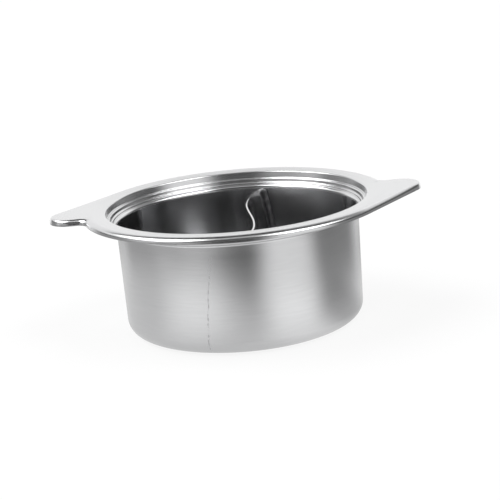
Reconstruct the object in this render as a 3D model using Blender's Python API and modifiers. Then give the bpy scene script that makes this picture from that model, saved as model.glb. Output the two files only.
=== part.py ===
# Divided hot pot: one drawn steel shell with a stepped lid seat, a gently dished flange with two
# swept ears and a turned-down lip, halved by an S-shaped sheet that is welded in along its edges.
# The origin is the middle of the base, +Z is up and +X runs along the ears. Sizes are in metres.

import math

import bmesh
import bpy
from mathutils import Vector
from mathutils.geometry import interpolate_bezier

# Shell: sheet, height and the body below the lid seat
TOTAL_HEIGHT = 0.0787
SHEET = 0.0008
BODY_RADIUS = 0.0766            # outside of the wall, just under the lid seat
BODY_TAPER = 0.0012             # the wall's foot is smaller by this
FOOT_ROUND = 0.0087             # outside radius of the bottom corner

# Lid seat: widths run outwards from the wall, depths down from the top of the flange
SHOULDER_WIDTH = 0.0038
SHOULDER_RISE = 0.0008
RISER_DRAFT = 0.0004
RISER_HEIGHT = 0.0023
LEDGE_WIDTH = 0.0018
LEDGE_DEPTH = 0.0049
SEAT_DRAFT = 0.0008
SHOULDER_BEND = 0.0032          # bends are inside radii, on the tight side of the sheet
RISER_BEND = 0.0001
RISER_ROOT = 0.0006
SEAT_ROOT = 0.0006
MOUTH_BEND = 0.0007

# Flange, ears and lip
FLANGE_WIDTH = 0.0126           # from the mouth to the crease of the lip
FLANGE_DISH = 0.0005            # the mouth lies lower than the crease by this
LIP_HEIGHT = 0.0037
LIP_BEND = 0.0002
EAR_LENGTH = 0.0215             # how far an ear's tip stands out past the round flange
EAR_TIP_RADIUS = 0.0136
EAR_TIP_SHIFT = 0.0045          # the tip sits off the ear's axis, towards the notch
EAR_BACK_SLOPE = math.radians(0.5)
NOTCH_RADIUS = 0.0064

# Divider: an S in plan between two places on the wall, set in slightly askew
DIVIDER_SHEET = 0.0012
DIVIDER_DROP = 0.0027           # its top edge lies this far below the shoulder
DIVIDER_REAR_ANGLE = math.radians(75.8)
DIVIDER_FRONT_ANGLE = math.radians(-102.0)
DIVIDER_REAR_CREST = Vector((0.0066, 0.0260))
DIVIDER_FRONT_CREST = Vector((0.0099, -0.0212))
DIVIDER_REAR_HEADING = math.radians(48)
DIVIDER_FRONT_HEADING = math.radians(213)
CREST_HANDLE = 0.0152
REAR_HANDLE = 0.0106
FRONT_HANDLE = 0.0305
DIVIDER_TWIST = math.radians(-6.2)      # turn of its foot against its top edge

# Welds along the divider's edges
WELD_LEG = 0.0020
WELD_HOLLOW = 0.25              # how hollow the bead's face is, as a share of its leg
WELD_SHORT = 0.0005             # the upright beads stop this far below the divider's top

# Clearance between neighbouring pieces, and fineness of the round forms
GAP = 0.0003
AROUND = 80
MERGE = 0.00001
DIVIDER_SPAN_STEPS = 12
DIVIDER_LEVELS = 5

STEEL = (0.62, 0.62, 0.63, 1.0)
STEEL_BRIGHT = (0.72, 0.72, 0.73, 1.0)
WELD_GREY = (0.48, 0.48, 0.49, 1.0)

# Places that follow from the sizes above
wall_top = BODY_RADIUS - SHEET
wall_foot = wall_top - BODY_TAPER
foot_bend = max(FOOT_ROUND - SHEET, SHEET)
riser_foot = wall_top + SHOULDER_WIDTH
riser_top = riser_foot + RISER_DRAFT
seat_foot = riser_top + LEDGE_WIDTH
mouth = seat_foot + SEAT_DRAFT
crease = mouth + FLANGE_WIDTH
ledge_height = TOTAL_HEIGHT - LEDGE_DEPTH
groove_height = ledge_height - RISER_HEIGHT
shoulder_height = groove_height - SHOULDER_RISE
lip_round = SHEET + LIP_BEND


def fresh_scene():
    for item in list(bpy.data.objects):
        bpy.data.objects.remove(item, do_unlink=True)
    for group in list(bpy.data.collections):
        bpy.data.collections.remove(group)


def new_collection(name):
    group = bpy.data.collections.new(name)
    bpy.context.scene.collection.children.link(group)
    return group


def steel_material(name, colour, roughness):
    material = bpy.data.materials.new(name)
    material.use_nodes = True
    shader = material.node_tree.nodes["Principled BSDF"]
    shader.inputs["Base Color"].default_value = colour
    shader.inputs["Metallic"].default_value = 1.0
    shader.inputs["Roughness"].default_value = roughness
    return material


def add_object(name, bm, group, material=None):
    mesh = bpy.data.meshes.new(name)
    bm.to_mesh(mesh)
    bm.free()
    mesh.shade_smooth()
    mesh.set_sharp_from_angle(angle=math.radians(40))
    item = bpy.data.objects.new(name, mesh)
    group.objects.link(item)
    if material:
        mesh.materials.append(material)
    return item


def rounded(points, radii, steps):
    """The polyline through 2D points with its inner corners rounded, each radius cut to its room."""
    wanted = [0.0] * len(points)
    for i in range(1, len(points) - 1):
        opening = (points[i - 1] - points[i]).angle(points[i + 1] - points[i])
        wanted[i] = radii[i] / math.tan(opening / 2)
    room = [1.0] * len(points)
    for i in range(len(points) - 1):
        length = 0.98 * (points[i + 1] - points[i]).length
        share = min(1.0, length / max(wanted[i] + wanted[i + 1], length))
        room[i] = min(room[i], share)
        room[i + 1] = min(room[i + 1], share)
    line = [points[0]]
    for i in range(1, len(points) - 1):
        before = (points[i - 1] - points[i]).normalized()
        after = (points[i + 1] - points[i]).normalized()
        half = before.angle(after) / 2
        reach = wanted[i] * room[i]
        radius = reach * math.tan(half)
        middle = points[i] + (before + after).normalized() * (radius / math.sin(half))
        start = points[i] + before * reach - middle
        turn = start.angle_signed(points[i] + after * reach - middle)
        for step in range(steps[i] + 1):
            angle = -turn * step / steps[i]
            line.append(middle + Vector((start.x * math.cos(angle) - start.y * math.sin(angle),
                                         start.x * math.sin(angle) + start.y * math.cos(angle))))
    line.append(points[-1])
    return line


def body_line(clearance=0.0):
    """Inside of the body from the middle of the floor up the wall to the shoulder, as (r, z)."""
    corners = [Vector((0, SHEET + clearance)),
               Vector((wall_foot - clearance, SHEET + clearance)),
               Vector((wall_top - clearance, shoulder_height))]
    return rounded(corners, [0, max(foot_bend - clearance, SHEET), 0], [1, 5, 1])


def shell_line():
    """Inside of the shell from the middle of the floor to the start of the flange, as (r, z)."""
    corners = [Vector((0, SHEET)),
               Vector((wall_foot, SHEET)),
               Vector((wall_top, shoulder_height)),
               Vector((riser_foot, groove_height)),
               Vector((riser_top, ledge_height)),
               Vector((seat_foot, ledge_height)),
               Vector((mouth, TOTAL_HEIGHT - FLANGE_DISH)),
               Vector((crease, TOTAL_HEIGHT))]
    radii = [0, foot_bend, SHOULDER_BEND + SHEET, RISER_ROOT, RISER_BEND + SHEET, SEAT_ROOT,
             MOUTH_BEND + SHEET, 0]
    return rounded(corners, radii, [1, 5, 4, 1, 3, 2, 3, 1])[:-1]


def direction(angle):
    return Vector((math.cos(angle), math.sin(angle)))


def arc(middle, radius, start, end, steps, inwards=False):
    """Points of an arc with their outward normals; an inward arc is the hollow of a notch."""
    pairs = []
    for step in range(steps):
        angle = start + (end - start) * step / steps
        way = direction(angle)
        pairs.append((middle + way * radius, -way if inwards else way))
    return pairs


def half_outline():
    """Crease of the lip from -90 to +90 degrees, round one ear: points and outward normals."""
    half_steps = AROUND // 2
    tip = Vector((crease + EAR_LENGTH - EAR_TIP_RADIUS, EAR_TIP_SHIFT))
    middle = Vector((0, 0))
    lean = math.acos((crease - EAR_TIP_RADIUS) / tip.length)
    front = math.atan2(tip.y, tip.x) - lean
    back = math.radians(90) - EAR_BACK_SLOPE
    back_normal = direction(back)
    back_reach = back_normal.dot(tip) + EAR_TIP_RADIUS
    far = math.sqrt((crease + NOTCH_RADIUS) ** 2 - (back_reach + NOTCH_RADIUS) ** 2)
    notch = back_normal * (back_reach + NOTCH_RADIUS) + Vector((back_normal.y, -back_normal.x)) * far
    notch_angle = math.atan2(notch.y, notch.x)
    side_steps = 2
    tip_steps = 5
    edge_steps = 1
    notch_steps = 3
    front_steps = round(half_steps * (front + math.pi / 2) / math.pi)
    rear_steps = half_steps - front_steps - side_steps - tip_steps - edge_steps - notch_steps
    pairs = arc(middle, crease, -math.pi / 2, front, front_steps)
    start = direction(front) * crease
    run = tip + direction(front) * EAR_TIP_RADIUS - start
    pairs += [(start + run * step / side_steps, direction(front)) for step in range(side_steps)]
    pairs += arc(tip, EAR_TIP_RADIUS, front, back, tip_steps)
    pairs += [(tip + back_normal * EAR_TIP_RADIUS, back_normal)]
    pairs += arc(notch, NOTCH_RADIUS, back - math.pi, notch_angle - math.pi, notch_steps, True)
    pairs += arc(middle, crease, notch_angle, math.pi / 2, rear_steps)
    return pairs


def outline_ring(grow, height):
    """The whole outline, pushed outwards by grow and set at a height; both ears are alike."""
    ring = [Vector((*(point + normal * grow), height)) for point, normal in half_outline()]
    return ring + [Vector((-point.x, -point.y, height)) for point in ring]


def flange_rings():
    bend_steps = 3
    rings = []
    for step in range(bend_steps + 1):
        angle = math.pi / 2 * step / bend_steps
        rings.append(outline_ring(lip_round * math.sin(angle),
                                  TOTAL_HEIGHT - lip_round * (1 - math.cos(angle))))
    rings.append(outline_ring(lip_round, TOTAL_HEIGHT - max(LIP_HEIGHT, 2 * lip_round)))
    return rings


def build_shell(group, material):
    bm = bmesh.new()
    verts = [bm.verts.new((point.x, 0, point.y)) for point in shell_line()]
    edges = [bm.edges.new(pair) for pair in zip(verts, verts[1:])]
    bmesh.ops.spin(bm, geom=verts + edges, cent=(0, 0, 0), axis=(0, 0, 1),
                   angle=2 * math.pi, steps=AROUND, use_merge=True)
    bmesh.ops.remove_doubles(bm, verts=bm.verts, dist=MERGE)
    rim = [vert for vert in bm.verts if vert.is_boundary]
    rim.sort(key=lambda vert: (math.atan2(vert.co.y, vert.co.x) + math.pi / 2 + MERGE) % (2 * math.pi))
    for ring in flange_rings():
        outer = [bm.verts.new(point) for point in ring]
        for i in range(len(rim)):
            bm.faces.new((rim[i - 1], outer[i - 1], outer[i], rim[i]))
        rim = outer
    bmesh.ops.recalc_face_normals(bm, faces=bm.faces)
    floor = min(bm.faces, key=lambda face: face.calc_center_median().z)
    if floor.normal.z < 0:
        bmesh.ops.reverse_faces(bm, faces=bm.faces)
    shell = add_object("pot_shell", bm, group, material)
    wall = shell.modifiers.new("Sheet", "SOLIDIFY")
    wall.thickness = SHEET
    wall.offset = -1
    wall.use_even_offset = True
    return shell


def divider_plan():
    """The S in plan, rear end first, run on past the wall at both ends."""
    overrun = 2 * WELD_LEG
    rear = direction(DIVIDER_REAR_ANGLE) * wall_top
    front = direction(DIVIDER_FRONT_ANGLE) * wall_top
    along = Vector((0, 1))
    knots = [(rear, -direction(DIVIDER_REAR_HEADING) * REAR_HANDLE),
             (DIVIDER_REAR_CREST, along * CREST_HANDLE),
             (DIVIDER_FRONT_CREST, along * CREST_HANDLE),
             (front, direction(DIVIDER_FRONT_HEADING) * -FRONT_HANDLE)]
    spans = [(knots[0][0], knots[0][0] + knots[0][1], knots[1][0] + knots[1][1], knots[1][0]),
             (knots[1][0], knots[1][0] - knots[1][1], knots[2][0] + knots[2][1], knots[2][0]),
             (knots[2][0], knots[2][0] - knots[2][1], knots[3][0] + knots[3][1], knots[3][0])]
    plan = []
    for span in spans:
        points = interpolate_bezier(*[point.to_3d() for point in span], DIVIDER_SPAN_STEPS + 1)
        plan += [point.to_2d() for point in points[:-1]]
    plan.append(spans[-1][-1])
    plan.insert(0, plan[0] + (plan[0] - plan[1]).normalized() * overrun)
    plan.append(plan[-1] + (plan[-1] - plan[-2]).normalized() * overrun)
    return plan


def body_heights():
    line = body_line()
    top = line[-1].y - DIVIDER_DROP
    return line[0].y, top


def twisted(point, height):
    """A plan point carried round by the divider's twist, which fades out towards the floor."""
    floor, top = body_heights()
    angle = DIVIDER_TWIST * math.sin(math.pi / 2 * (top - height) / (top - floor))
    return Vector((point.x * math.cos(angle) - point.y * math.sin(angle),
                   point.x * math.sin(angle) + point.y * math.cos(angle), height))


def build_divider(group, cutters, material):
    floor, top = body_heights()
    below = floor - SHEET
    above = top + WELD_LEG
    bm = bmesh.new()
    plan = divider_plan()
    rows = []
    for level in range(DIVIDER_LEVELS + 1):
        height = below + (above - below) * level / DIVIDER_LEVELS
        rows.append([bm.verts.new(twisted(point, height)) for point in plan])
    for lower, upper in zip(rows, rows[1:]):
        for i in range(len(plan) - 1):
            bm.faces.new((lower[i], lower[i + 1], upper[i + 1], upper[i]))
    divider = add_object("divider", bm, group, material)
    sheet = divider.modifiers.new("Sheet", "SOLIDIFY")
    sheet.thickness = DIVIDER_SHEET
    sheet.offset = 0
    sheet.use_even_offset = True
    trim = divider.modifiers.new("Trim", "BOOLEAN")
    trim.operation = "INTERSECT"
    trim.object = build_room(cutters, top)
    return divider


def build_room(cutters, top):
    """The space inside the body, less the clearance, up to the divider's top edge."""
    line = [point for point in body_line(GAP) if point.y < top - MERGE]
    foot, head = line[-1], body_line(GAP)[-1]
    rim = foot + (head - foot) * ((top - foot.y) / (head.y - foot.y))
    bm = bmesh.new()
    profile = [Vector((0, top)), rim] + line[::-1]
    verts = [bm.verts.new((point.x, 0, point.y)) for point in profile]
    for pair in zip(verts, verts[1:]):
        bm.edges.new(pair)
    room = add_object("room_cutter", bm, cutters)
    turn = room.modifiers.new("Turn", "SCREW")
    turn.steps = AROUND
    turn.render_steps = AROUND
    turn.use_merge_vertices = True
    turn.merge_threshold = MERGE
    room.display_type = "WIRE"
    room.hide_render = True
    return room


def plan_crossing(radius, rear):
    """Where the S crosses a circle near one end: the point, and the way along the S from rear to front."""
    plan = divider_plan()
    if not rear:
        plan.reverse()
    for outer, inner in zip(plan, plan[1:]):
        if inner.length <= radius < outer.length:
            part = (outer.length - radius) / (outer.length - inner.length)
            way = (inner - outer).normalized()
            return outer + (inner - outer) * part, way if rear else -way
    return plan[0], (plan[1] - plan[0]).normalized()


def sheet_normal(point, way, height):
    """Unit normal of the twisted sheet at a plan point, on the +X side of the S."""
    step = SHEET
    rise = twisted(point, height + step) - twisted(point, height - step)
    run = twisted(point + way * step, height) - twisted(point, height)
    normal = run.cross(rise).normalized()
    return normal if normal.x > 0 else -normal


def clear_of_shell(point):
    """The point, drawn in to the clearance wherever it would stand nearer to the round shell."""
    line = body_line()
    foot, head = line[-2], line[-1]
    bend = line[1] + Vector((0, foot_bend))
    place = Vector((point.xy.length, point.z))
    spoke = place - bend
    if place.y >= bend.y:
        wall = foot.x + (head.x - foot.x) * (place.y - foot.y) / (head.y - foot.y)
        place.x = min(place.x, wall - GAP)
    elif spoke.x > 0 and spoke.length > foot_bend - GAP:
        place = bend + spoke.normalized() * (foot_bend - GAP)
    way = point.xy.normalized()
    return Vector((way.x * place.x, way.y * place.x, place.y))


def weld_section(place, surface, sheet, side):
    """Corners of a bead in the nook between the shell (normal surface) and the divider (normal sheet)."""
    out = sheet * side
    path = surface.cross(out).normalized()
    up_sheet = path.cross(out)
    up_sheet = (up_sheet if up_sheet.dot(surface) > 0 else -up_sheet).normalized()
    along_shell = path.cross(surface)
    along_shell = (along_shell if along_shell.dot(out) > 0 else -along_shell).normalized()
    opening = up_sheet.cross(along_shell).length
    root = place + up_sheet * (GAP / opening) + along_shell * ((DIVIDER_SHEET / 2 + GAP) / opening)
    toe_sheet = root + up_sheet * WELD_LEG
    toe_shell = root + along_shell * WELD_LEG
    face = (toe_sheet + toe_shell) / 2
    face = face.lerp(root, WELD_HOLLOW)
    return [clear_of_shell(corner) for corner in (root, toe_sheet, face, toe_shell)]


def loft(name, sections, group, material):
    """A closed bead through sections that have the same number of corners."""
    bm = bmesh.new()
    rings = [[bm.verts.new(point) for point in section] for section in sections]
    for ring, following in zip(rings, rings[1:]):
        for i in range(len(ring)):
            bm.faces.new((ring[i - 1], ring[i], following[i], following[i - 1]))
    bm.faces.new(rings[0])
    bm.faces.new(rings[-1])
    bmesh.ops.recalc_face_normals(bm, faces=bm.faces)
    return add_object(name, bm, group, material)


def surface_normal(before, after, way):
    """Inward normal of the shell between two profile points, turned to a plan direction."""
    run = after - before
    flat = Vector((-run.y, run.x)).normalized()
    return Vector((way.x * flat.x, way.y * flat.x, flat.y))


def upright_sections(rear, side):
    """Sections down the wall and round the bottom corner at one end of the divider."""
    line = body_line()
    top = body_heights()[1] - WELD_SHORT
    head, shoulder = line[-2], line[-1]
    wall_levels = 3
    stops = [head + (shoulder - head) * ((top - head.y) / (shoulder.y - head.y) * part / wall_levels)
             for part in range(wall_levels, 0, -1)]
    stops += line[-2:0:-1]
    sections = []
    for i, stop in enumerate(stops):
        point, way = plan_crossing(stop.x, rear)
        place = twisted(point, stop.y)
        before = stops[min(i + 1, len(stops) - 1)]
        after = stops[max(i - 1, 0)]
        surface = surface_normal(before, after, place.to_2d().normalized())
        sections.append(weld_section(place, surface, sheet_normal(point, way, stop.y), side))
    return sections


def floor_sections(side):
    """Sections along the floor, from the rear corner's end to the front corner's."""
    floor = body_line()[0].y
    start = body_line()[1].x - GAP
    rear_point, rear_way = plan_crossing(start, True)
    front_point, front_way = plan_crossing(start, False)
    plan = divider_plan()
    stops = [(rear_point, rear_way)]
    for before, point, after in zip(plan, plan[1:], plan[2:]):
        if point.length < start - WELD_LEG / 2:
            stops.append((point, (after - before).normalized()))
    stops.append((front_point, front_way))
    upwards = Vector((0, 0, 1))
    return [weld_section(twisted(point, floor), upwards, sheet_normal(point, way, floor), side)
            for point, way in stops]


def build_welds(group, material):
    for side, hand in ((-1, "left"), (1, "right")):
        loft("rear_weld_" + hand, upright_sections(True, side), group, material)
        loft("front_weld_" + hand, upright_sections(False, side), group, material)
        loft("floor_weld_" + hand, floor_sections(side), group, material)


def main():
    fresh_scene()
    pot = new_collection("divided_hot_pot")
    cutters = new_collection("cutters")
    build_shell(pot, steel_material("brushed_steel", STEEL, 0.30))
    build_divider(pot, cutters, steel_material("divider_steel", STEEL_BRIGHT, 0.25))
    build_welds(pot, steel_material("weld_bead", WELD_GREY, 0.45))


main()
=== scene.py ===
import math

import bmesh
import bpy
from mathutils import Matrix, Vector
from mathutils.geometry import interpolate_bezier
from mathutils.kdtree import KDTree


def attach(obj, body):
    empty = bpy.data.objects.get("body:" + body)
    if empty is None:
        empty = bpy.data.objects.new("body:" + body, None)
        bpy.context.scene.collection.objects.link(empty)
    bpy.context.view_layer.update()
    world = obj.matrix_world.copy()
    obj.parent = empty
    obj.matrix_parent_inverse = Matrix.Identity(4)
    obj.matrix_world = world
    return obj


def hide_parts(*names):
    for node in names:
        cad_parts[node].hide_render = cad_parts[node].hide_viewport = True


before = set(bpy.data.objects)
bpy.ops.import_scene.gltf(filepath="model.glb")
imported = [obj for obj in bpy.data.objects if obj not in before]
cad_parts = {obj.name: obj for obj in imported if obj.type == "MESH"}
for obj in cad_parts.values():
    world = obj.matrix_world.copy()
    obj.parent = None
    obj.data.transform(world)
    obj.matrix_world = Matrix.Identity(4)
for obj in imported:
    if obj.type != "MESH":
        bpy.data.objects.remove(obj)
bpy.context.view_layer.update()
print("packed pot loaded")


# small helpers for working by operator

def startFresh():
    if bpy.context.object and bpy.context.object.mode != "OBJECT":
        bpy.ops.object.mode_set(mode="OBJECT")
    bpy.ops.object.select_all(action="DESELECT")


def finishPiece(piece, name, material, node, smoothAngle=35):
    # the piece's place goes into its mesh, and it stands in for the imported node
    startFresh()
    piece.name = name
    piece.data.name = name
    piece.select_set(True)
    bpy.context.view_layer.objects.active = piece
    bpy.ops.object.transform_apply(location=True, rotation=True, scale=True)
    bpy.ops.object.shade_smooth_by_angle(angle=math.radians(smoothAngle))
    piece.data.materials.clear()
    piece.data.materials.append(material)
    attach(piece, "root")
    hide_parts(node)
    print(name, "done,", len(piece.data.polygons), "faces")


def applyModifier(piece, modifier):
    startFresh()
    piece.select_set(True)
    bpy.context.view_layer.objects.active = piece
    bpy.ops.object.modifier_apply(modifier=modifier.name)


def moveRing(piece, before, after):
    # drags the selected loop, vertex by vertex, from one ring of points to the next
    finder = KDTree(len(before))
    for index, point in enumerate(before):
        finder.insert(point, index)
    finder.balance()
    mesh = bmesh.from_edit_mesh(piece.data)
    for vert in mesh.verts:
        if vert.select:
            vert.co = after[finder.find(vert.co)[1]]
    bmesh.update_edit_mesh(piece.data)
    return after


def selectEdges(piece, test):
    bpy.ops.mesh.select_mode(type="EDGE")
    bpy.ops.mesh.select_all(action="DESELECT")
    mesh = bmesh.from_edit_mesh(piece.data)
    for edge in mesh.edges:
        edge.select_set(test(edge))
    bmesh.update_edit_mesh(piece.data)


def direction(angle):
    return Vector((math.cos(angle), math.sin(angle)))


def turned(flat, angle):
    return Vector((flat.x * math.cos(angle) - flat.y * math.sin(angle),
                   flat.x * math.sin(angle) + flat.y * math.cos(angle)))


def roundCorners(stops):
    # stops are (corner, radius, steps) along an (r, z) line, and all but its two ends get an arc
    mostOfSide = 0.72               # the share of a straight side that one bend may take up
    line = [stops[0][0]]
    for (last, *_), (corner, radius, steps), (following, *_) in zip(stops, stops[1:], stops[2:]):
        before, after = last - corner, following - corner
        half = before.angle(after) / 2
        reach = min(radius / math.tan(half), mostOfSide * before.length, mostOfSide * after.length)
        before, after = before.normalized(), after.normalized()
        middle = corner + (before + after).normalized() * (reach * math.tan(half) / math.sin(half))
        start = corner + before * reach - middle
        turn = start.angle_signed(corner + after * reach - middle)
        line += [middle + turned(start, -turn * step / steps) for step in range(steps + 1)]
    return line + [stops[-1][0]]


# camera

cameraSettings = {
    "location": (0.0, -0.92693, 0.28906),
    "rotation": (75.1794, 4.8867, -1.6686),     # degrees
    "lens": 108.461,
    "sensor": 36.0,
}


def addCamera(settings):
    startFresh()
    bpy.ops.object.camera_add(location=settings["location"],
                              rotation=[math.radians(angle) for angle in settings["rotation"]])
    camera = bpy.context.object
    camera.name = "studioCamera"
    camera.data.lens = settings["lens"]
    camera.data.sensor_width = settings["sensor"]
    camera.data.clip_start = 0.01
    bpy.context.scene.camera = camera


addCamera(cameraSettings)
print("camera placed")


# materials

class Nodes:
    # short names for wiring a node tree
    def __init__(self, tree):
        self.tree = tree

    def add(self, kind, **values):
        node = self.tree.nodes.new(kind)
        for key, value in values.items():
            setattr(node, key, value)
        return node

    def put(self, node, name, value):
        socket = node.inputs[name]
        if isinstance(value, bpy.types.NodeSocket):
            self.tree.links.new(value, socket)
        else:
            socket.default_value = value

    def math(self, operation, a, b=None, c=None):
        node = self.add("ShaderNodeMath", operation=operation)
        for index, value in enumerate((a, b, c)):
            if value is not None:
                self.put(node, index, value)
        return node.outputs[0]

    def noise(self, vector, scale, detail, w=None):
        node = self.add("ShaderNodeTexNoise", noise_dimensions="3D" if w is None else "4D")
        self.put(node, "Vector", vector)
        if w is not None:
            self.put(node, "W", w)
        self.put(node, "Scale", scale)
        self.put(node, "Detail", detail)
        return node.outputs["Fac"]

    def ramp(self, value, low, high, outLow, outHigh, smooth=True):
        node = self.add("ShaderNodeMapRange")
        node.interpolation_type = "SMOOTHSTEP" if smooth else "LINEAR"
        for name, number in (("Value", value), ("From Min", low), ("From Max", high),
                             ("To Min", outLow), ("To Max", outHigh)):
            self.put(node, name, number)
        return node.outputs[0]

    def place(self):
        # the spot on the object, in metres, whole and as x, y and z
        place = self.add("ShaderNodeTexCoord").outputs["Object"]
        return place, self.split(place)

    def split(self, vector):
        node = self.add("ShaderNodeSeparateXYZ")
        self.put(node, 0, vector)
        return node.outputs

    def sum(self, *terms):
        # terms are (socket, share) pairs
        total = self.math("MULTIPLY", *terms[-1])
        for socket, share in reversed(terms[:-1]):
            total = self.math("ADD", self.math("MULTIPLY", socket, share), total)
        return total

    def colours(self, value, dark, light, span):
        node = self.add("ShaderNodeValToRGB")
        for element, position, colour in zip(node.color_ramp.elements, span, (dark, light)):
            element.position = position
            element.color = colour
        self.put(node, 0, value)
        return node.outputs[0]

    def bump(self, height, strength, distance):
        node = self.add("ShaderNodeBump")
        self.put(node, "Height", height)
        self.put(node, "Strength", strength)
        self.put(node, "Distance", distance)
        return node.outputs[0]

    def blend(self, share, first, second):
        node = self.add("ShaderNodeMixShader")
        for index, value in enumerate((share, first, second)):
            self.put(node, index, value)
        return node.outputs[0]


steelSettings = {
    "darkest": (0.588, 0.590, 0.597, 1),
    "lightest": (0.632, 0.634, 0.640, 1),
    "toneSpan": (0.30, 0.70),
    "wallRoughness": 0.25,          # satin outside
    "flangeRoughness": 0.22,
    "insideRoughness": 0.17,        # smoother where the food goes
    "insideEdge": (0.0768, 0.0776),     # radii between which the inside's finish ends
    "roughnessSpread": 0.008,
    "roughnessSpan": (0.3, 0.7),
    "anisotropy": 0.55,
    "grainLines": 1300,             # brushing lines per metre across the grain
    "grainReach": 5,                # how short the lines are along the grain
    "levelReach": 60,               # the same where the grain runs along a sheet
    "grainStrength": 0.025,
    "grainDepth": 0.0001,
    "broadShare": (0.25, 0.22),     # how much coarser the broad bands are, across and along
    "cloudScale": 38.0,
    "smudgeScale": 130.0,
    "toneShares": (0.45, 0.30, 0.25),       # fine lines, broad bands, clouds
    "dullShares": (0.5, 0.35, 0.15),        # broad bands, clouds, smudges
}

# the front weld shows through the wall as a row of small marks
seamSettings = {
    "fromFront": 18.2,              # degrees from the front towards the left ear, at its foot
    "lean": 5.6,                    # degrees that it turns back towards the front at its top
    "leanPower": 1.9,               # most of the turn comes near the top
    "height": 0.066,
    "wander": 1.2,                  # degrees
    "wanderScale": 160.0,
    "width": (0.10, 0.50),          # degrees from its middle: still a full mark, no mark left
    "markScale": 330.0,
    "markSpan": (0.44, 0.62),
    "faintest": 0.12,
    "footFade": (0.002, 0.005),     # heights between which the marks come in and fade out
    "topFade": (0.040, 0.068),
    "leftAtTop": 0.1,
    "skin": (0.072, 0.0735),        # radii: only the outside is marked
    "colour": (0.26, 0.26, 0.27, 1),
    "darkening": 0.30,
    "dulling": 0.2,
    "depth": -1.2,                  # in grain depths
}


def seamMark(tree, place, radius, settings):
    # how strongly the weld's marks show at a place, 0 to 1
    x, y, z = tree.split(place)
    turn = tree.math("MULTIPLY", tree.math("ARCTAN2", tree.math("MULTIPLY", x, -1.0),
                                           tree.math("MULTIPLY", y, -1.0)), 180 / math.pi)
    share = tree.math("MAXIMUM", tree.math("DIVIDE", z, settings["height"]), 0.0)
    lean = tree.math("MULTIPLY", tree.math("POWER", share, settings["leanPower"]), settings["lean"])
    wander = tree.math("SUBTRACT", tree.noise(place, settings["wanderScale"], 1.0), 0.5)
    middle = tree.math("ADD", tree.math("SUBTRACT", settings["fromFront"], lean),
                       tree.math("MULTIPLY", wander, settings["wander"]))
    off = tree.math("ABSOLUTE", tree.math("SUBTRACT", turn, middle))
    marks = tree.ramp(tree.noise(place, settings["markScale"], 1.0), *settings["markSpan"],
                      settings["faintest"], 1.0)
    mark = tree.math("MULTIPLY", tree.ramp(off, *settings["width"], 1.0, 0.0), marks)
    for fade in (tree.ramp(z, *settings["footFade"], 0.0, 1.0),
                 tree.ramp(z, *settings["topFade"], 1.0, settings["leftAtTop"]),
                 tree.ramp(radius, *settings["skin"], 0.0, 1.0)):
        mark = tree.math("MULTIPLY", mark, fade)
    return mark


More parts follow.
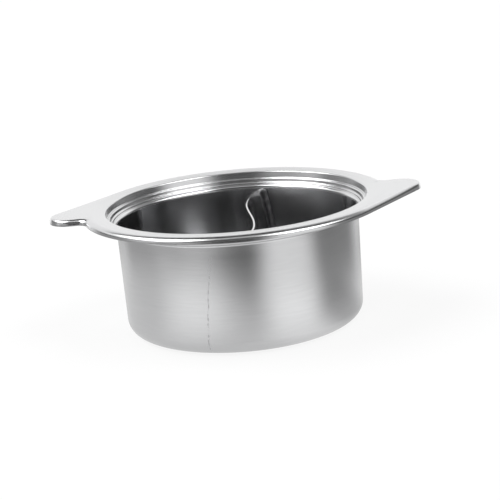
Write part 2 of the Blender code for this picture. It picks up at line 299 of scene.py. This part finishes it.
def steelMaterial(name, settings, seam=None, along="round"):
    material = bpy.data.materials.new(name)
    material.use_nodes = True
    tree = Nodes(material.node_tree)
    shader = material.node_tree.nodes["Principled BSDF"]
    place, (x, y, z) = tree.place()
    radius = tree.math("SQRT", tree.sum((x, x), (y, y)))
    safe = tree.math("MAXIMUM", radius, 0.001)
    wayX = tree.math("DIVIDE", x, safe)
    wayY = tree.math("DIVIDE", y, safe)
    grain = tree.add("ShaderNodeCombineXYZ")
    if along == "round":            # rings round the pot's middle
        tree.put(grain, 0, tree.math("MULTIPLY", wayX, settings["grainReach"]))
        tree.put(grain, 1, tree.math("MULTIPLY", wayY, settings["grainReach"]))
        tree.put(grain, 2, tree.math("MULTIPLY", radius, settings["grainLines"]))
    else:                           # level lines along the sheet
        tree.put(grain, 0, tree.math("MULTIPLY", x, settings["levelReach"]))
        tree.put(grain, 1, tree.math("MULTIPLY", y, settings["levelReach"]))
    across, lengthwise = settings["broadShare"]
    rise = tree.math("MULTIPLY", z, settings["grainLines"])
    lines = tree.noise(grain.outputs[0], 1.0, 1.0, rise)
    broad = tree.noise(grain.outputs[0], lengthwise, 2.0, tree.math("MULTIPLY", rise, across))
    clouds = tree.noise(place, settings["cloudScale"], 3.0)
    smudges = tree.noise(place, settings["smudgeScale"], 2.0)
    tone = tree.sum(*zip((lines, broad, clouds), settings["toneShares"]))
    colour = tree.colours(tone, settings["darkest"], settings["lightest"], settings["toneSpan"])
    dull = tree.sum(*zip((broad, clouds, smudges), settings["dullShares"]))

    # upper is 1 on faces that look up or inwards, inner is 1 on those of them inside the pot
    normalX, normalY, normalZ = tree.split(tree.add("ShaderNodeNewGeometry").outputs["Normal"])
    outwards = tree.sum((normalX, wayX), (normalY, wayY))
    upper = tree.ramp(tree.math("SUBTRACT", normalZ, outwards), -0.2, 0.2, 0.0, 1.0)
    inner = tree.math("MULTIPLY", upper, tree.ramp(radius, *settings["insideEdge"], 1.0, 0.0))
    wall, flange, inside = (settings[part + "Roughness"] for part in ("wall", "flange", "inside"))
    roughness = tree.math("ADD", tree.ramp(upper, 0.0, 1.0, wall, flange, False),
                          tree.math("MULTIPLY", inner, inside - flange))
    spread = settings["roughnessSpread"]
    uneven = tree.ramp(dull, *settings["roughnessSpan"], -spread, spread)
    roughness = tree.math("ADD", roughness, uneven)
    height = lines
    if seam:
        mark = seamMark(tree, place, radius, seam)
        darker = tree.add("ShaderNodeMix", data_type="RGBA")
        tree.put(darker, "Factor", tree.math("MULTIPLY", mark, seam["darkening"]))
        tree.put(darker, 6, colour)             # the two colour sockets
        tree.put(darker, 7, seam["colour"])
        colour = darker.outputs[2]
        roughness = tree.math("ADD", roughness, tree.math("MULTIPLY", mark, seam["dulling"]))
        height = tree.math("ADD", height, tree.math("MULTIPLY", mark, seam["depth"]))

    tree.put(shader, "Base Color", colour)
    tree.put(shader, "Metallic", 1.0)
    tree.put(shader, "Roughness", roughness)
    tree.put(shader, "Normal", tree.bump(height, settings["grainStrength"], settings["grainDepth"]))
    tree.put(shader, "Anisotropic", settings["anisotropy"])
    tree.put(shader, "Anisotropic Rotation", 0.25)          # gleams spread across the brushing
    tangent = tree.add("ShaderNodeCombineXYZ")
    if along == "round":
        tree.put(tangent, 0, tree.math("MULTIPLY", wayY, -1.0))
        tree.put(tangent, 1, wayX)
    else:
        tree.put(tangent, 0, tree.math("MULTIPLY", normalY, -1.0))
        tree.put(tangent, 1, tree.math("ADD", normalX, 0.01))
    tree.put(shader, "Tangent", tangent.outputs[0])
    return material


dividerSteel = dict(steelSettings, darkest=(0.60, 0.60, 0.605, 1), lightest=(0.71, 0.71, 0.715, 1),
                    wallRoughness=0.14, flangeRoughness=0.14, insideRoughness=0.14)

weldSettings = {
    "dull": (0.17, 0.17, 0.174, 1),
    "bright": (0.30, 0.30, 0.305, 1),
    "toneSpan": (0.35, 0.65),
    "roughness": (0.36, 0.50),
    "roughnessSpan": (0.3, 0.7),
    "blotchScale": 260.0,
    "speckScale": 1500.0,
    "speckStrength": 0.25,
    "speckDepth": 0.0002,
}


def weldMaterial(settings):
    material = bpy.data.materials.new("wireBrushedWeld")
    material.use_nodes = True
    tree = Nodes(material.node_tree)
    shader = material.node_tree.nodes["Principled BSDF"]
    place, _ = tree.place()
    blotches = tree.noise(place, settings["blotchScale"], 3.0)
    specks = tree.noise(place, settings["speckScale"], 2.0)
    colour = tree.colours(blotches, settings["dull"], settings["bright"], settings["toneSpan"])
    tree.put(shader, "Base Color", colour)
    tree.put(shader, "Metallic", 1.0)
    roughness = tree.ramp(specks, *settings["roughnessSpan"], *settings["roughness"])
    tree.put(shader, "Roughness", roughness)
    tree.put(shader, "Normal", tree.bump(specks, settings["speckStrength"], settings["speckDepth"]))
    return material


shellSteel = steelMaterial("circularBrushedSteel", steelSettings, seam=seamSettings)
sheetSteel = steelMaterial("levelBrushedSteel", dividerSteel, along="level")
weldGrey = weldMaterial(weldSettings)
print("materials mixed")


# pot shell: mouth ring first, then seat, wall and floor inwards, flange, ears and lip outwards

pot = {
    "height": 0.0787,
    "sheet": 0.0008,
    "wallTop": 0.0758,              # inside radii
    "wallFoot": 0.0746,
    "footBend": 0.0079,
    "footSteps": 14,
    "wallParts": 10,                # the wall's long straight run is cut into this many rings
    "riserFoot": 0.0796,
    "riserTop": 0.0800,
    "seatFoot": 0.0818,
    "mouth": 0.0826,
    "ledgeHeight": 0.0738,
    "grooveHeight": 0.0715,
    "stepTop": (0.0786, 0.0713),    # small step between the groove and the shoulder
    "stepFoot": (0.0783, 0.0703),
    "shoulderHeight": 0.0697,
    "shoulderBend": 0.0030,
    "mouthBend": 0.0011,            # bends of the seat, from the mouth down to the shoulder
    "ledgeRoot": 0.0006,
    "riserBend": 0.0009,
    "grooveRoot": 0.0006,
    "stepBend": 0.0009,
    "stepRoot": 0.0005,
    "flangeStart": (0.0871, 0.07838),       # on the flange, where the modelling starts
    "edge": 0.0962,                 # outside of the turned-down lip
    "dish": 0.0005,                 # the mouth lies lower than the crease of the lip by this
    "rollWidth": 0.0044,            # rolled edge round the pot, and at the tips of the ears
    "rollWidthAtTip": 0.0014,
    "rollDepth": 0.0027,
    "rollSteps": 14,
    "lipDrops": (0.0032, 0.0037),   # last rings of the lip, down from the top
    "trimmedEdge": 0.00028,         # rounding of the sheet's cut edge
    "earLength": 0.02126,
    "tipRadius": 0.0146,
    "tipShift": 0.0045,
    "backSlope": 0.5,               # degrees
    "notchRadius": 0.0054,
    "around": 320,
    "flangeRings": (0.15, 0.35, 0.6, 0.82, 0.93, 1.0),      # shares of the way out to the crease
    "floorRings": (0.060, 0.050, 0.040, 0.030, 0.021, 0.013, 0.007, 0.003),
}


def arcPoints(middle, radius, start, end, steps, hollow=False):
    # points of an arc, each with the way out of the metal
    pairs = []
    for step in range(steps):
        way = direction(start + (end - start) * step / steps)
        pairs.append((middle + way * radius, -way if hollow else way))
    return pairs


def edgeHalf(settings):
    # outer edge from the front round the right ear to the back, each point with its outward way
    half = settings["around"] // 2
    edge, tipRadius, notch = settings["edge"], settings["tipRadius"], settings["notchRadius"]
    tip = Vector((edge + settings["earLength"] - tipRadius, settings["tipShift"]))
    front = math.atan2(tip.y, tip.x) - math.acos((edge - tipRadius) / tip.length)
    back = math.radians(90 - settings["backSlope"])
    backWay = direction(back)
    backReach = backWay.dot(tip) + tipRadius
    far = math.sqrt((edge + notch) ** 2 - (backReach + notch) ** 2)
    hollow = backWay * (backReach + notch) + Vector((backWay.y, -backWay.x)) * far
    hollowTurn = math.atan2(hollow.y, hollow.x)
    edgeStart, edgeEnd = tip + backWay * tipRadius, hollow - backWay * notch
    sideSteps, tipSteps, edgeSteps, notchSteps = 18, 34, 4, 14
    roundSteps = half - sideSteps - tipSteps - edgeSteps - notchSteps
    frontSteps = round(roundSteps * (front + math.pi / 2) / (front + math.pi - hollowTurn))
    rearSteps = roundSteps - frontSteps
    frontWay = direction(front)
    sideStart, sideEnd = frontWay * edge, tip + frontWay * tipRadius
    pairs = arcPoints(Vector((0, 0)), edge, -math.pi / 2, front, frontSteps)
    pairs += [(sideStart.lerp(sideEnd, step / sideSteps), frontWay) for step in range(sideSteps)]
    pairs += arcPoints(tip, tipRadius, front, back, tipSteps)
    pairs += [(edgeStart.lerp(edgeEnd, step / edgeSteps), backWay) for step in range(edgeSteps)]
    pairs += arcPoints(hollow, notch, back - math.pi, hollowTurn - math.pi, notchSteps, hollow=True)
    pairs += arcPoints(Vector((0, 0)), edge, hollowTurn, math.pi / 2, rearSteps)
    return pairs


def rollRing(settings, share, drop):
    # ring on the rolled edge: share 0 is its inner crease, 1 the outside
    ring = []
    for point, way in edgeHalf(settings):
        ear = min(max((point.length - settings["edge"]) / settings["earLength"], 0), 1)
        width = settings["rollWidth"] + (settings["rollWidthAtTip"] - settings["rollWidth"]) * ear
        ring.append(Vector((*(point - way * width * (1 - share)), settings["height"] - drop)))
    return ring + [Vector((-point.x, -point.y, point.z)) for point in ring]


def seatAndWallLine(settings):
    # inside face of the sheet as an (r, z) line, from the flange down to the middle of the floor
    mouth = (settings["mouth"], settings["height"] - settings["dish"])
    stops = [(settings["flangeStart"], 0, 1),
             (mouth, settings["mouthBend"], 8),
             ((settings["seatFoot"], settings["ledgeHeight"]), settings["ledgeRoot"], 5),
             ((settings["riserTop"], settings["ledgeHeight"]), settings["riserBend"], 7),
             ((settings["riserFoot"], settings["grooveHeight"]), settings["grooveRoot"], 5),
             (settings["stepTop"], settings["stepBend"], 6),
             (settings["stepFoot"], settings["stepRoot"], 4),
             ((settings["wallTop"], settings["shoulderHeight"]), settings["shoulderBend"], 10),
             ((settings["wallFoot"], settings["sheet"]), settings["footBend"], settings["footSteps"]),
             ((0, settings["sheet"]), 0, 1)]
    return roundCorners([(Vector(corner), bend, steps) for corner, bend, steps in stops])


def buildShell(settings):
    startFresh()
    line = seatAndWallLine(settings)
    start = line[0]
    bpy.ops.mesh.primitive_circle_add(vertices=settings["around"], radius=start.x,
                                      location=(0, 0, start.y), fill_type="NOTHING")
    shell = bpy.context.object
    bpy.ops.object.transform_apply(location=True)
    bpy.ops.object.mode_set(mode="EDIT")
    bpy.ops.mesh.select_mode(type="EDGE")
    bpy.ops.mesh.select_all(action="SELECT")
    half = settings["around"] // 2
    even = [direction(-math.pi / 2 + math.pi * step / half) for step in range(2 * half)]
    outline = [point.xy for point in rollRing(settings, 0, 0)]
    spokes = [point.normalized() for point in outline]      # closer together round the ears
    firstRing = [Vector((*(way * start.x), start.y)) for way in spokes]
    moveRing(shell, [Vector((*(way * start.x), start.y)) for way in even], firstRing)
    rings = line[1:-1] + [Vector((radius, settings["sheet"])) for radius in settings["floorRings"]]
    wallFootIndex = len(line) - 2 - (settings["footSteps"] + 1)
    last = start
    for index, point in enumerate(rings):
        parts = settings["wallParts"] if index == wallFootIndex else 1
        for stop in [last.lerp(point, part / parts) for part in range(1, parts + 1)]:
            rise = (0, 0, stop.y - last.y)
            bpy.ops.mesh.extrude_region_move(TRANSFORM_OT_translate={"value": rise})
            bpy.ops.transform.resize(value=(stop.x / last.x, stop.x / last.x, 1),
                                     center_override=(0, 0, stop.y))
            last = stop
    bpy.ops.mesh.extrude_region_move()
    bpy.ops.mesh.merge(type="CENTER")       # closes the middle of the floor

    selectEdges(shell, lambda edge: edge.is_boundary)
    top, flat = settings["height"], settings["edge"] - settings["rollWidth"]
    now = firstRing
    for part in settings["flangeRings"]:
        ring = []
        for way, end in zip(spokes, outline):
            point = (way * start.x).lerp(end, part)
            out = min(max((point.length - settings["mouth"]) / (flat - settings["mouth"]), 0), 1)
            ring.append(Vector((*point, top - settings["dish"] * (1 - out))))
        bpy.ops.mesh.extrude_region_move()
        now = moveRing(shell, now, ring)
    for step in range(1, settings["rollSteps"] + 1):
        angle = math.pi / 2 * step / settings["rollSteps"]
        drop = settings["rollDepth"] * (1 - math.cos(angle))
        bpy.ops.mesh.extrude_region_move()
        now = moveRing(shell, now, rollRing(settings, math.sin(angle), drop))
    for drop in settings["lipDrops"]:
        bpy.ops.mesh.extrude_region_move()
        now = moveRing(shell, now, rollRing(settings, 1, drop))
    bpy.ops.mesh.select_all(action="SELECT")
    bpy.ops.mesh.remove_doubles(threshold=0.00001)
    bpy.ops.mesh.normals_make_consistent(inside=False)
    mesh = bmesh.from_edit_mesh(shell.data)
    floor = min(mesh.faces, key=lambda face: face.calc_center_median().xy.length)
    if floor.normal.z < 0:
        bpy.ops.mesh.flip_normals()
    bpy.ops.object.mode_set(mode="OBJECT")

    wall = shell.modifiers.new("Sheet", "SOLIDIFY")
    wall.thickness = settings["sheet"]
    wall.offset = -1
    wall.use_even_offset = True
    applyModifier(shell, wall)
    edge = shell.modifiers.new("RolledEdge", "BEVEL")
    edge.width = settings["trimmedEdge"]
    edge.segments = 3
    edge.limit_method = "ANGLE"
    edge.angle_limit = math.radians(60)
    applyModifier(shell, edge)
    return shell


shell = buildShell(pot)
finishPiece(shell, "brushedShell", shellSteel, "pot_shell")


# divider: an S drawn as a curve, pulled down through the pot and trimmed to the wall and floor

sheetWall = {
    "thickness": 0.0012,
    "top": 0.0680,
    "rearTurn": 75.8,               # degrees, where the S meets the wall
    "frontTurn": -102.0,
    "rearCrest": (0.0066, 0.0260),
    "frontCrest": (0.0099, -0.0212),
    "rearHeading": 48.0,
    "frontHeading": 213.0,
    "crestHandle": 0.0152,
    "rearHandle": 0.0106,
    "frontHandle": 0.0305,
    "runOn": 0.006,                 # the curve runs on past the wall at both ends
    "curveSteps": 24,
    "twist": -6.2,                  # degrees, foot against top edge
    "levels": 14,
    "spare": (0.001, 0.0006),       # untrimmed sheet above its top edge and below the pot's floor
    "sunk": 0.0003,                 # its edges run this far into the welded sheets
    "edgeRound": 0.00022,
}


def dividerCurve(settings):
    # knots of the S in plan, each with its handle ahead and its handle behind
    rear = direction(math.radians(settings["rearTurn"])) * pot["wallTop"]
    front = direction(math.radians(settings["frontTurn"])) * pot["wallTop"]
    rearWay = direction(math.radians(settings["rearHeading"]))
    frontWay = direction(math.radians(settings["frontHeading"]))
    rearCrest, frontCrest = Vector(settings["rearCrest"]), Vector(settings["frontCrest"])
    pull = Vector((0, settings["crestHandle"]))
    run = settings["runOn"]
    return [(rear + rearWay * run, rear + rearWay * run * 0.66, rear + rearWay * run * 1.4),
            (rear, rear - rearWay * settings["rearHandle"], rear + rearWay * run * 0.33),
            (rearCrest, rearCrest - pull, rearCrest + pull),
            (frontCrest, frontCrest - pull, frontCrest + pull),
            (front, front + frontWay * run * 0.33, front - frontWay * settings["frontHandle"]),
            (front + frontWay * run, front + frontWay * run * 1.4, front + frontWay * run * 0.66)]


def planPoints(settings):
    knots = [[point.to_3d() for point in knot] for knot in dividerCurve(settings)]
    points = []
    for (start, after, _), (end, _, before) in zip(knots, knots[1:]):
        span = interpolate_bezier(start, after, before, end, settings["curveSteps"] + 1)
        points += [point.to_2d() for point in span[:-1]]
    return points + [knots[-1][0].to_2d()]


def twistAt(height):
    share = (sheetWall["top"] - height) / (sheetWall["top"] - pot["sheet"])
    return math.radians(sheetWall["twist"]) * math.sin(math.pi / 2 * share)


def twisted(point, height):
    return Vector((*turned(point, twistAt(height)), height))


def insideLine(clearance):
    # the pot's floor and wall as an (r, z) line, drawn in by a clearance
    floor = pot["sheet"] + clearance
    return roundCorners([(Vector((0, floor)), 0, 1),
                         (Vector((pot["wallFoot"] - clearance, floor)), pot["footBend"] - clearance, 12),
                         (Vector((pot["wallTop"] - clearance, pot["shoulderHeight"])), 0, 1)])


def buildDivider(settings):
    startFresh()
    bpy.ops.curve.primitive_bezier_curve_add(location=(0, 0, 0))
    guide = bpy.context.object
    spline = guide.data.splines[0]
    knots = dividerCurve(settings)
    spline.bezier_points.add(len(knots) - len(spline.bezier_points))
    for knot, (place, after, before) in zip(spline.bezier_points, knots):
        knot.handle_left_type = knot.handle_right_type = "FREE"
        knot.co = place.to_3d()
        knot.handle_left = before.to_3d()
        knot.handle_right = after.to_3d()
    above, below = settings["spare"]
    start, bottom = settings["top"] + above, pot["sheet"] - below
    guide.data.dimensions = "3D"
    guide.data.resolution_u = settings["curveSteps"]
    guide.location = (0, 0, start)
    bpy.ops.object.convert(target="MESH")
    divider = bpy.context.object
    bpy.ops.object.transform_apply(location=True)
    bpy.ops.object.mode_set(mode="EDIT")
    bpy.ops.mesh.select_mode(type="EDGE")
    bpy.ops.mesh.select_all(action="SELECT")
    bpy.ops.transform.rotate(value=-twistAt(start), orient_axis="Z", center_override=(0, 0, start))
    last = start
    for level in range(1, settings["levels"] + 1):
        height = start + (bottom - start) * level / settings["levels"]
        bpy.ops.mesh.extrude_region_move(TRANSFORM_OT_translate={"value": (0, 0, height - last)})
        bpy.ops.transform.rotate(value=twistAt(last) - twistAt(height), orient_axis="Z",
                                 center_override=(0, 0, height))
        last = height
    bpy.ops.mesh.select_all(action="SELECT")
    bpy.ops.mesh.normals_make_consistent(inside=False)
    bpy.ops.object.mode_set(mode="OBJECT")
    body = divider.modifiers.new("Body", "SOLIDIFY")
    body.thickness = settings["thickness"]
    body.offset = 0
    body.use_even_offset = True
    applyModifier(divider, body)

    room = buildRoom(settings)
    trim = divider.modifiers.new("Trim", "BOOLEAN")
    trim.operation = "INTERSECT"
    trim.solver = "EXACT"
    trim.object = room
    applyModifier(divider, trim)
    startFresh()
    room.select_set(True)
    bpy.ops.object.delete()

    divider.select_set(True)
    bpy.context.view_layer.objects.active = divider
    bpy.ops.object.mode_set(mode="EDIT")
    level = settings["top"] - 0.00002       # only edges of the sheet's top face lie above this
    selectEdges(divider, lambda edge: min(vert.co.z for vert in edge.verts) > level
                and len(edge.link_faces) == 2 and edge.calc_face_angle() > math.radians(50))
    bpy.ops.mesh.bevel(offset=settings["edgeRound"], segments=3, affect="EDGES")
    bpy.ops.object.mode_set(mode="OBJECT")
    return divider


def buildRoom(settings):
    # the pot's inside, a touch larger, which trims the sheet
    startFresh()
    *line, head = insideLine(-settings["sunk"])
    foot = line[-1]
    line.append(foot.lerp(head, (settings["top"] - foot.y) / (head.y - foot.y)))
    start = line[1]
    bpy.ops.mesh.primitive_circle_add(vertices=192, radius=start.x, location=(0, 0, start.y),
                                      fill_type="NGON")
    room = bpy.context.object
    bpy.ops.object.transform_apply(location=True)
    bpy.ops.object.mode_set(mode="EDIT")
    bpy.ops.mesh.select_mode(type="FACE")
    bpy.ops.mesh.select_all(action="SELECT")
    last = start
    for point in line[2:]:
        bpy.ops.mesh.extrude_region_move(TRANSFORM_OT_translate={"value": (0, 0, point.y - last.y)})
        bpy.ops.transform.resize(value=(point.x / last.x, point.x / last.x, 1),
                                 center_override=(0, 0, point.y))
        last = point
    bpy.ops.mesh.select_all(action="SELECT")
    bpy.ops.mesh.normals_make_consistent(inside=False)
    bpy.ops.object.mode_set(mode="OBJECT")
    return room


divider = buildDivider(sheetWall)
finishPiece(divider, "brushedDivider", sheetSteel, "divider")


# weld beads: rippled runs in the nooks between the divider and the shell

bead = {
    "radius": 0.0013,
    "sink": 0.0005,                 # how far it bites into both sheets
    "ripple": 0.0011,               # length of one ripple
    "rippleDepth": 0.07,
    "step": 0.00036,
    "stopShort": 0.0010,            # the upright runs end this far below the divider's top
    "taper": (0.55, 0.15),          # thickness at the ends, and how fast it grows from there
    "swells": ((0.05, 610, 1.0), (0.04, 1370, 2.1)),    # size, pace and shift of the slow waves
    "drift": (0.4, 330),            # how unevenly the ripples follow each other
    "wallStops": 8,
}


def crossing(radius, rear):
    # where the S passes a radius at its rear or front end, and which way it runs there
    plan = planPoints(sheetWall)
    if not rear:
        plan.reverse()
    for outer, inner in zip(plan, plan[1:]):
        if inner.length <= radius < outer.length:
            part = (outer.length - radius) / (outer.length - inner.length)
            way = (inner - outer).normalized()
            return outer.lerp(inner, part), way if rear else -way
    return plan[0], (plan[1] - plan[0]).normalized()


def sheetWay(point, way, height):
    # straight out of the divider's right face
    rise = twisted(point, height + 0.001) - twisted(point, height - 0.001)
    run = twisted(point + way * 0.001, height) - twisted(point, height)
    out = run.cross(rise).normalized()
    return out if out.x > 0 else -out


def nook(place, shellWay, sheetOut, side):
    # middle of a bead that bites into both faces
    out = sheetOut * side
    path = shellWay.cross(out).normalized()
    upSheet = path.cross(out).normalized()
    upSheet = upSheet if upSheet.dot(shellWay) > 0 else -upSheet
    alongShell = path.cross(shellWay).normalized()
    alongShell = alongShell if alongShell.dot(out) > 0 else -alongShell
    opening = upSheet.cross(alongShell).length
    stand = bead["radius"] - bead["sink"]
    return (place + upSheet * (stand / opening)
            + alongShell * ((sheetWall["thickness"] / 2 + stand) / opening))


def uprightPath(rear, side):
    line = insideLine(0)
    foot, head = line[-2], line[-1]
    top = sheetWall["top"] - bead["stopShort"]
    wall = (head - foot) * ((top - foot.y) / (head.y - foot.y))
    parts = bead["wallStops"]
    stops = [foot + wall * (part / parts) for part in range(parts, 0, -1)] + line[-2:0:-1]
    points = []
    for i, stop in enumerate(stops):
        point, way = crossing(stop.x, rear)
        place = twisted(point, stop.y)
        run = stops[max(i - 1, 0)] - stops[min(i + 1, len(stops) - 1)]
        flat = Vector((-run.y, run.x)).normalized()
        out = place.xy.normalized()
        shellWay = Vector((out.x * flat.x, out.y * flat.x, flat.y))
        points.append(nook(place, shellWay, sheetWay(point, way, stop.y), side))
    return points


def floorPath(side):
    line = insideLine(0)
    start = line[1].x
    floor = line[0].y
    plan = planPoints(sheetWall)
    stops = [crossing(start, True)]
    for before, point, after in zip(plan, plan[1:], plan[2:]):
        if point.length < start - 0.001:
            stops.append((point, (after - before).normalized()))
    stops.append(crossing(start, False))
    upwards = Vector((0, 0, 1))
    return [nook(twisted(point, floor), upwards, sheetWay(point, way, floor), side)
            for point, way in stops]


def evenSteps(points, step):
    # the same path at even steps
    spots, spare = [points[0]], step
    for start, end in zip(points, points[1:]):
        length = (end - start).length
        while spare <= length:
            spots.append(start.lerp(end, spare / length))
            spare += step
        spare -= length
    return spots


def buildBead(path, seed):
    startFresh()
    spots = evenSteps(path, bead["step"])
    bpy.ops.curve.primitive_nurbs_path_add()
    run = bpy.context.object
    run.data.splines.clear()
    spline = run.data.splines.new("POLY")
    spline.points.add(len(spots) - 1)
    thin, growth = bead["taper"]
    uneven, pace = bead["drift"]
    for index, spot in enumerate(spots):
        travel = index * bead["step"]
        slow = sum(size * math.sin(travel * quick + shift * seed) for size, quick, shift in bead["swells"])
        phase = (travel / bead["ripple"] + uneven * math.sin(travel * pace + seed)) % 1.0
        scallop = bead["rippleDepth"] * (math.sin(math.pi * phase) - 0.6)
        taper = min(1.0, thin + growth * min(index, len(spots) - 1 - index))
        spline.points[index].co = (*spot, 1)
        spline.points[index].radius = (1 + slow + scallop) * taper
    run.data.dimensions = "3D"
    run.data.bevel_depth = bead["radius"]
    run.data.bevel_resolution = 4
    run.data.use_fill_caps = True
    bpy.ops.object.convert(target="MESH")
    return bpy.context.object


for side, hand in ((-1, "left"), (1, "right")):
    for name, path, seed in (("rear", uprightPath(True, side), 0.7),
                             ("front", uprightPath(False, side), 1.9),
                             ("floor", floorPath(side), 3.3)):
        run = buildBead(path, seed + side)
        finishPiece(run, name + "Bead" + hand.capitalize(), weldGrey,
                    name + "_weld_" + hand, smoothAngle=60)


# studio: pale floor, white all round for the camera, and soft glows that light the pot,
# with pools of light and shade painted on the table that show only in its steel

studio = {
    "floorSize": 12.0,
    "floorColour": (0.86, 0.86, 0.86, 1),
    "floorShow": 0.86,              # share of plain white that the camera sees on the floor
    # what the steel sees of the table, as pools of painted light: the middle of each pool and where it
    # starts and stops fading, in metres; a level below 0 paints a patch of shade
    "paintedPools": {
        "table": {"middle": (-0.045, -0.008), "fade": (0.14, 0.275), "level": 0.79},
        "rightFront": {"middle": (0.15, -0.20), "fade": (0.05, 0.145), "level": 0.86},
        "rightNear": {"middle": (0.066, -0.095), "fade": (0.02, 0.065), "level": 0.25},
        "rightShade": {"middle": (0.118, -0.034), "fade": (0.02, 0.075), "level": -0.24},
        "leftFront": {"middle": (-0.11, -0.165), "fade": (0.03, 0.13), "level": 0.48},
    },
    "underPot": (0.062, 0.080, 0.95),   # the pot's own shade: radii, brightness left inside
    "roomLevel": 0.05,
    # azimuth 0 is towards the camera, + towards the right ear; half is each glow's half width
    # and half height, and fade how much of them fades out, all in degrees
    "glows": {
        "backCard": {"azimuth": 180, "elevation": 10, "half": (60, 28), "fade": (26, 8), "level": 1.08},
        "leftBox": {"azimuth": -55, "elevation": 2, "half": (41, 18), "fade": (24, 10), "level": 0.66},
        "rightBox": {"azimuth": 45, "elevation": 2, "half": (35, 24), "fade": (24, 10), "level": 1.12},
        "leftSide": {"azimuth": -105, "elevation": -4, "half": (50, 18), "fade": (24, 8), "level": 0.33},
        "rightLow": {"azimuth": 110, "elevation": -8, "half": (56, 18), "fade": (20, 8), "level": 0.26},
        "rightTall": {"azimuth": 56, "elevation": 40, "half": (18, 22), "fade": (8, 12), "level": 0.6},
        "leftTall": {"azimuth": -95, "elevation": 41, "half": (50, 22), "fade": (20, 10), "level": 1.2},
        "rightSide": {"azimuth": 140, "elevation": 36, "half": (40, 16), "fade": (16, 8), "level": 0.3},
        "frontCard": {"azimuth": 0, "elevation": 26, "half": (56, 14), "fade": (20, 8), "level": 0.15},
        "leftHigh": {"azimuth": -95, "elevation": 58, "half": (48, 22), "fade": (16, 10), "level": 4.4},
        "rightHigh": {"azimuth": 72, "elevation": 58, "half": (42, 22), "fade": (16, 10), "level": 4.4},
        "top": {"azimuth": 0, "elevation": 90, "half": (360, 20), "fade": (10, 10), "level": 0.6},
    },
}


def floorMaterial(settings):
    material = bpy.data.materials.new("paleFloor")
    material.use_nodes = True
    tree = Nodes(material.node_tree)
    material.node_tree.nodes.clear()
    rays = tree.add("ShaderNodeLightPath").outputs
    place, _ = tree.place()
    plain = tree.add("ShaderNodeBsdfDiffuse")
    tree.put(plain, "Color", settings["floorColour"])
    white = tree.add("ShaderNodeEmission")
    share = tree.math("MULTIPLY", rays["Is Camera Ray"], settings["floorShow"])
    shown = tree.blend(share, plain.outputs[0], white.outputs[0])

    def distance(middle):
        away = tree.add("ShaderNodeVectorMath", operation="DISTANCE")
        tree.put(away, 0, place)
        tree.put(away, 1, (*middle, 0))
        return away.outputs["Value"]

    # each pool paints light into the floor as only the steel sees it; a level below 0 paints shade
    light, cover = 0.0, 0.0
    for pool in settings["paintedPools"].values():
        inside = tree.ramp(distance(pool["middle"]), *pool["fade"], 1.0, 0.0)
        light = tree.math("ADD", tree.math("MULTIPLY", inside, pool["level"]), light)
        cover = tree.math("MAXIMUM", inside, cover)
    # painted shade of the pot round its foot, seen only in the steel
    near, far, left = settings["underPot"]
    shade = tree.ramp(distance((0, 0)), near, far, left, 1.0)
    glow = tree.add("ShaderNodeEmission")
    tree.put(glow, "Strength", tree.math("MULTIPLY", light, shade))
    clear = tree.add("ShaderNodeBsdfTransparent")   # past the table's edge the steel sees the room
    tree.put(clear, "Color", tree.math("SUBTRACT", 1.0, cover))
    table = tree.add("ShaderNodeAddShader")
    tree.put(table, 0, glow.outputs[0])
    tree.put(table, 1, clear.outputs[0])
    seen = tree.blend(rays["Is Glossy Ray"], shown, table.outputs[0])
    tree.put(tree.add("ShaderNodeOutputMaterial"), "Surface", seen)
    material.cycles.emission_sampling = "NONE"
    return material


def addFloor(settings):
    startFresh()
    bpy.ops.mesh.primitive_plane_add(size=settings["floorSize"], location=(0, 0, -0.0002))
    floor = bpy.context.object
    floor.name = "studioFloor"
    bpy.ops.object.transform_apply(location=True)
    floor.data.materials.append(floorMaterial(settings))


def addWorld(settings):
    world = bpy.data.worlds.new("studioRoom")
    bpy.context.scene.world = world
    world.use_nodes = True
    world.node_tree.nodes.clear()
    tree = Nodes(world.node_tree)
    x, y, z = tree.split(tree.add("ShaderNodeTexCoord").outputs["Generated"])
    degrees = 180 / math.pi
    azimuth = tree.math("MULTIPLY", tree.math("ARCTAN2", x, tree.math("MULTIPLY", y, -1.0)), degrees)
    elevation = tree.math("MULTIPLY", tree.math("ARCSINE", z), degrees)
    light = settings["roomLevel"]
    for glow in settings["glows"].values():
        turn = tree.math("WRAP", tree.math("SUBTRACT", azimuth, glow["azimuth"]), 180.0, -180.0)
        rise = tree.math("SUBTRACT", elevation, glow["elevation"])
        (wide, tall), (sideFade, endFade) = glow["half"], glow["fade"]
        across = tree.ramp(tree.math("ABSOLUTE", turn), wide - sideFade, wide, glow["level"], 0.0)
        upright = tree.ramp(tree.math("ABSOLUTE", rise), tall - endFade, tall, 1.0, 0.0)
        light = tree.math("ADD", tree.math("MULTIPLY", across, upright), light)
    room = tree.add("ShaderNodeBackground")
    white = tree.add("ShaderNodeBackground")
    for background, strength in ((room, light), (white, 1.0)):
        tree.put(background, "Color", (1, 1, 1, 1))
        tree.put(background, "Strength", strength)
    rays = tree.add("ShaderNodeLightPath").outputs
    seen = tree.blend(rays["Is Camera Ray"], room.outputs[0], white.outputs[0])
    tree.put(tree.add("ShaderNodeOutputWorld"), "Surface", seen)


addFloor(studio)
addWorld(studio)
bpy.context.scene.view_settings.view_transform = "Standard"
print("studio set")

startFresh()
